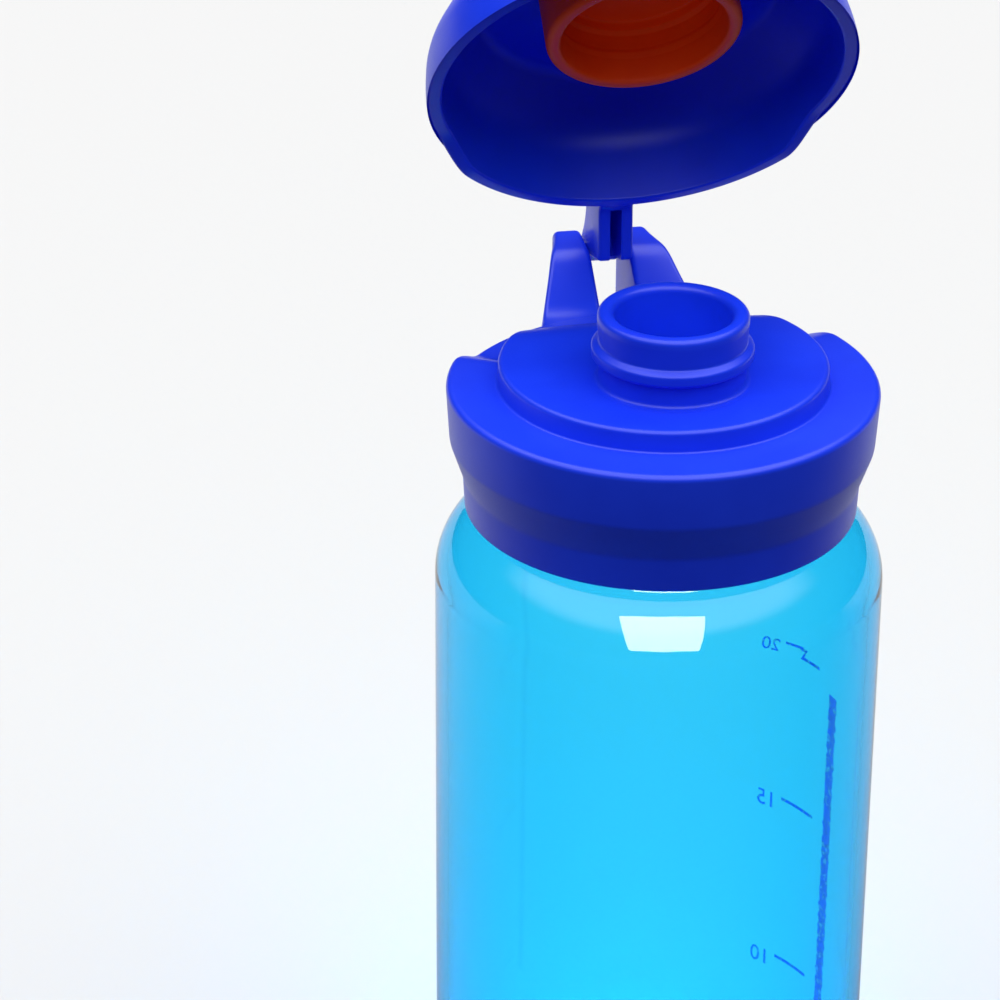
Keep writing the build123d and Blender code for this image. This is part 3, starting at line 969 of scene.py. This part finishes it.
def seen_directly(tree):
    """1 for rays from the camera and rays that came through the clear wall, otherwise 0."""
    path = tree.nodes.new("ShaderNodeLightPath")
    either = tree.nodes.new("ShaderNodeMath")
    either.operation = "MAXIMUM"
    tree.links.new(path.outputs["Is Camera Ray"], either.inputs[0])
    tree.links.new(path.outputs["Is Transmission Ray"], either.inputs[1])
    return either.outputs["Value"]


def soft_range(tree, value, ends, results):
    """Maps a value softly from ends to results."""
    node = tree.nodes.new("ShaderNodeMapRange")
    node.interpolation_type = "SMOOTHSTEP"
    node.inputs["From Min"].default_value, node.inputs["From Max"].default_value = ends
    node.inputs["To Min"].default_value, node.inputs["To Max"].default_value = results
    tree.links.new(value, node.inputs["Value"])
    return node.outputs["Result"]


def blend_values(tree, factor, low, high):
    """Mixes a value and a number, or two values, by a factor."""
    node = tree.nodes.new("ShaderNodeMix")
    tree.links.new(factor, node.inputs["Factor"])
    for name, value in (("A", low), ("B", high)):
        if isinstance(value, float):
            node.inputs[name].default_value = value
        else:
            tree.links.new(value, node.inputs[name])
    return node.outputs["Result"]


def floor():
    """A plain pale floor, evenly white where it is seen. For bounced light its colour is painted darker in front
    of the bottle: painted shade that stands in for black flags.
    """
    mesh = bpy.data.meshes.new("floor")
    corners = [(x * FLOOR_SIZE, y * FLOOR_SIZE, 0) for x, y in ((-1, -1), (1, -1), (1, 1), (-1, 1))]
    mesh.from_pydata(corners, [], [(0, 1, 2, 3)])
    m = Nodes("floor_paint")
    split = m.add("ShaderNodeSeparateXYZ")
    m.link(m.place, split.inputs["Vector"])
    # painted shade: for bounced light the floor is painted dark in front of the bottle and pale behind it
    bounce_shade_paint = soft_range(m.tree, split.outputs["Y"], BOUNCE_SHADE_Y, (FRONT_BOUNCE, REAR_BOUNCE))
    paint = blend_values(m.tree, seen_directly(m.tree), bounce_shade_paint, FLOOR_PAINT)
    m.link(paint, m.shader.inputs["Base Color"])
    m.set(Roughness=0.8, Specular_IOR_Level=0.1)
    mesh.materials.append(m.material)
    plane = bpy.data.objects.new("floor", mesh)
    bpy.context.scene.collection.objects.link(plane)


def sky():
    """A big overhead soft box in a dim room, with a white backdrop."""
    world = bpy.data.worlds.new("studio")
    bpy.context.scene.world = world
    world.use_nodes = True
    tree = world.node_tree
    place_of = tree.nodes.new("ShaderNodeTexCoord")
    toward = tree.nodes.new("ShaderNodeVectorMath")
    toward.operation = "DOT_PRODUCT"
    toward.inputs[1].default_value = Vector(KEY_AIM).normalized()
    tree.links.new(place_of.outputs["Generated"], toward.inputs[0])
    key = soft_range(tree, toward.outputs["Value"], (KEY_EDGE, KEY_CORE), (AMBIENT, KEY_STRENGTH))
    strength = blend_values(tree, seen_directly(tree), key, PAPER)
    tree.links.new(strength, tree.nodes["Background"].inputs["Strength"])
    tree.nodes["Background"].inputs["Color"].default_value = (1, 1, 1, 1)


def linked_box(name, receiver, toward, distance, size, energy):
    """A soft box that lights one piece only: direction from the lid, metres and watts."""
    data = bpy.data.lights.new(name, "AREA")
    data.shape = "RECTANGLE"
    data.size, data.size_y = size
    data.energy = energy
    box = bpy.data.objects.new(name, data)
    away = Vector(toward).normalized()
    box.location = Vector((0, 0, LID_Z * MM)) + away * distance
    box.rotation_euler = away.to_track_quat("Z", "Y").to_euler()
    box.visible_transmission = False
    box.visible_camera = False
    bpy.context.scene.collection.objects.link(box)
    receivers = bpy.data.collections.new(name)
    receivers.objects.link(bpy.data.objects[receiver])
    box.light_linking.receiver_collection = receivers
    return box


def gloss_box():
    """A soft box in front that shows only as a reflection in the bottle's clear wall."""
    box = linked_box(
        "gloss_box",
        receiver="bottle_shell",
        toward=(-0.12, -0.80, 0.60),
        distance=1.6,
        size=(1.05, 1.5),
        energy=95.0,
    )
    box.visible_diffuse = False


def seal_fill():
    """A weak soft box in front that lifts the seal out of the cap's shade."""
    box = linked_box(
        "seal_fill",
        receiver="silicone_seal",
        toward=(-0.25, -0.95, 0.05),
        distance=1.2,
        size=(0.8, 0.8),
        energy=1.6,
    )
    box.visible_glossy = False


def camera():
    """The camera: angles in degrees, lengths in millimetres."""
    azimuth, elevation, roll = 9.6, 26.83, 0.26
    distance, right_of_lid, below_lid = 687.0, -29.23, 21.40
    a, e, r = (math.radians(v) for v in (azimuth, elevation, roll))
    ahead = Vector((math.sin(a) * math.cos(e), math.cos(a) * math.cos(e), -math.sin(e)))
    right = Vector((math.cos(a), -math.sin(a), 0))
    up = right.cross(ahead)
    right, up = right * math.cos(r) + up * math.sin(r), up * math.cos(r) - right * math.sin(r)
    aim = Vector((0, 0, LID_Z)) + right * right_of_lid - up * below_lid
    data = bpy.data.cameras.new("camera")
    data.sensor_width = 36.0
    data.lens = 138.1
    data.clip_end = 100.0
    cam = bpy.data.objects.new("camera", data)
    turn = Matrix((right, up, -ahead)).transposed().to_4x4()
    cam.matrix_world = Matrix.Translation((aim - ahead * distance) * MM) @ turn
    bpy.context.scene.collection.objects.link(cam)
    bpy.context.scene.camera = cam


floor()
sky()
gloss_box()
seal_fill()
camera()
bpy.context.scene.view_settings.view_transform = "Standard"
